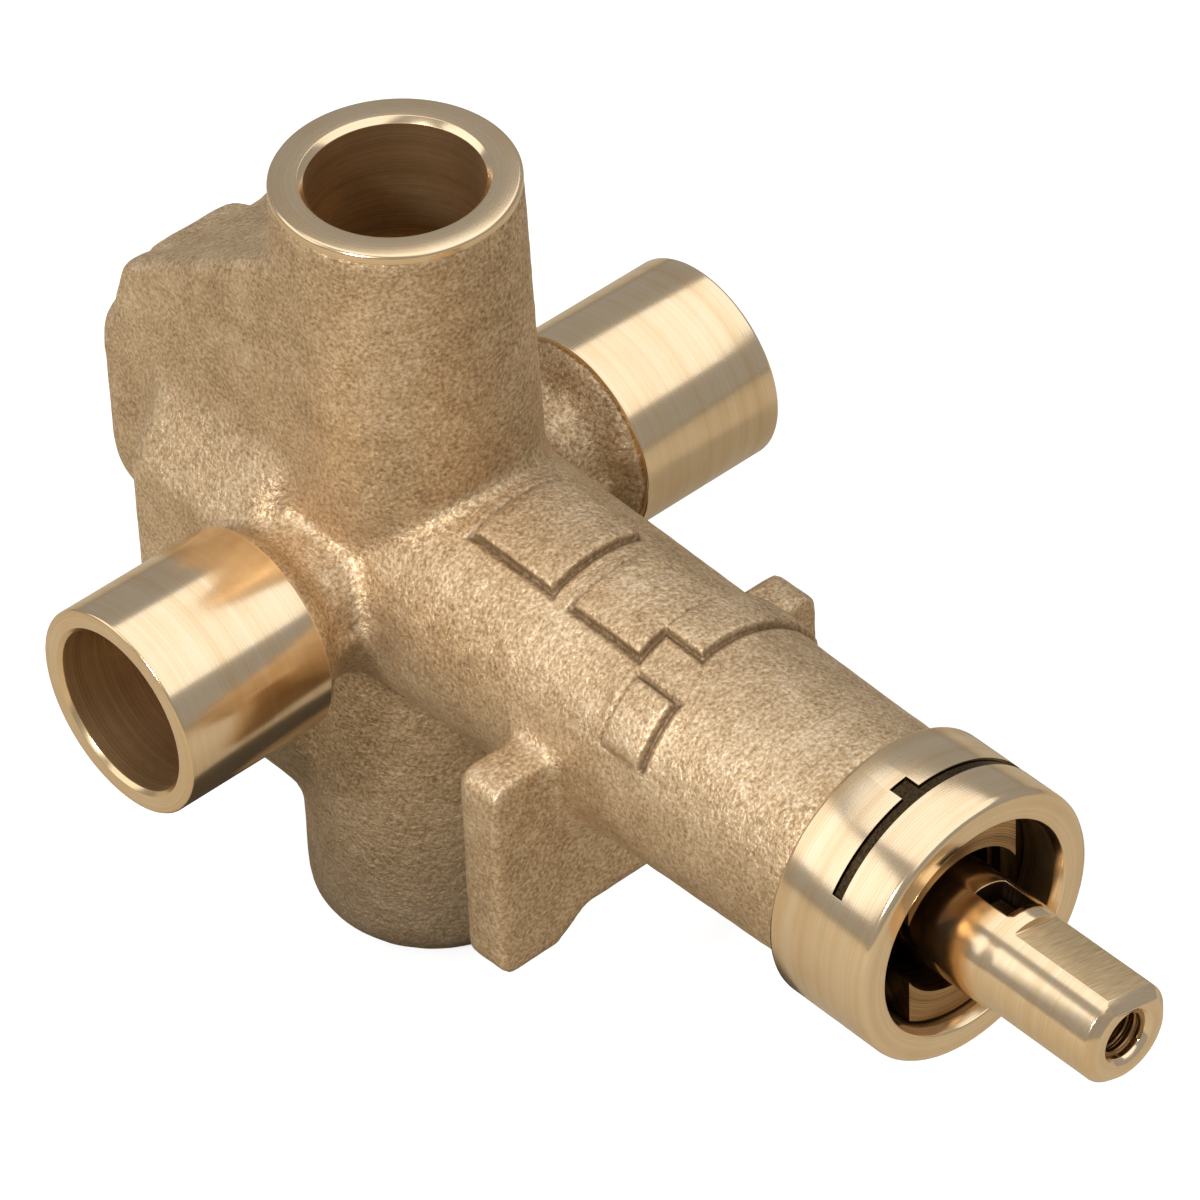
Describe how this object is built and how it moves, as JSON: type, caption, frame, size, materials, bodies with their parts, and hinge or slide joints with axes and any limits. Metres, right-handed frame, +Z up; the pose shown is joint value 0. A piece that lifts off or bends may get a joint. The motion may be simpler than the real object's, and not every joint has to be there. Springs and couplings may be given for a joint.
{
  "type": "shower rough-in valve",
  "caption": "Cast bronze shower rough-in valve with solder sockets at the sides and top, a blind lower stub, and a pull-and-turn mixing cartridge held in its collar by a clip.",
  "frame": {"origin": "on the barrel's axis, where the straight wall of the turned collar starts behind its front rim", "axes": "+Y runs back into the wall along the barrel, +Z up the outlet tube, +X to the cold inlet; the handle faces -Y"},
  "size_m": [0.069, 0.1197, 0.082],
  "materials": {
    "cast_bronze": "sand cast, grainy and dull, with turned collar, cups and rims left bright",
    "shell_brass": "turned brass",
    "stem_brass": "turned and milled brass, bright",
    "clip_steel": "stamped sheet, dull",
    "seal_rubber": "moulded, matte"
  },
  "bodies": {
    "valve": {"valve_body": "cast_bronze", "retaining_clip": "clip_steel", "cartridge_shell": "shell_brass", "shell_o_ring_front": "seal_rubber", "shell_o_ring_middle": "seal_rubber", "shell_o_ring_rear": "seal_rubber", "hot_port_seal": "seal_rubber", "cold_port_seal": "seal_rubber", "end_plug": "shell_brass"},
    "stem_rings": {"stem_o_ring_front": "seal_rubber", "stem_o_ring_rear": "seal_rubber"},
    "stem_and_piston": {"stem": "stem_brass", "piston": "stem_brass", "piston_pin": "clip_steel", "piston_o_ring_front": "seal_rubber", "piston_o_ring_rear": "seal_rubber"}
  },
  "joints": [
    {"name": "stem_pull", "type": "slide", "parent": "valve", "child": "stem_rings", "axis": [0, -1, 0], "range_m": [0, 0.011]},
    {"name": "stem_turn", "type": "hinge", "parent": "stem_rings", "child": "stem_and_piston", "pos_m": [0, 0, 0], "axis": [0, -1, 0], "range_deg": [-61, 89]}
  ]
}
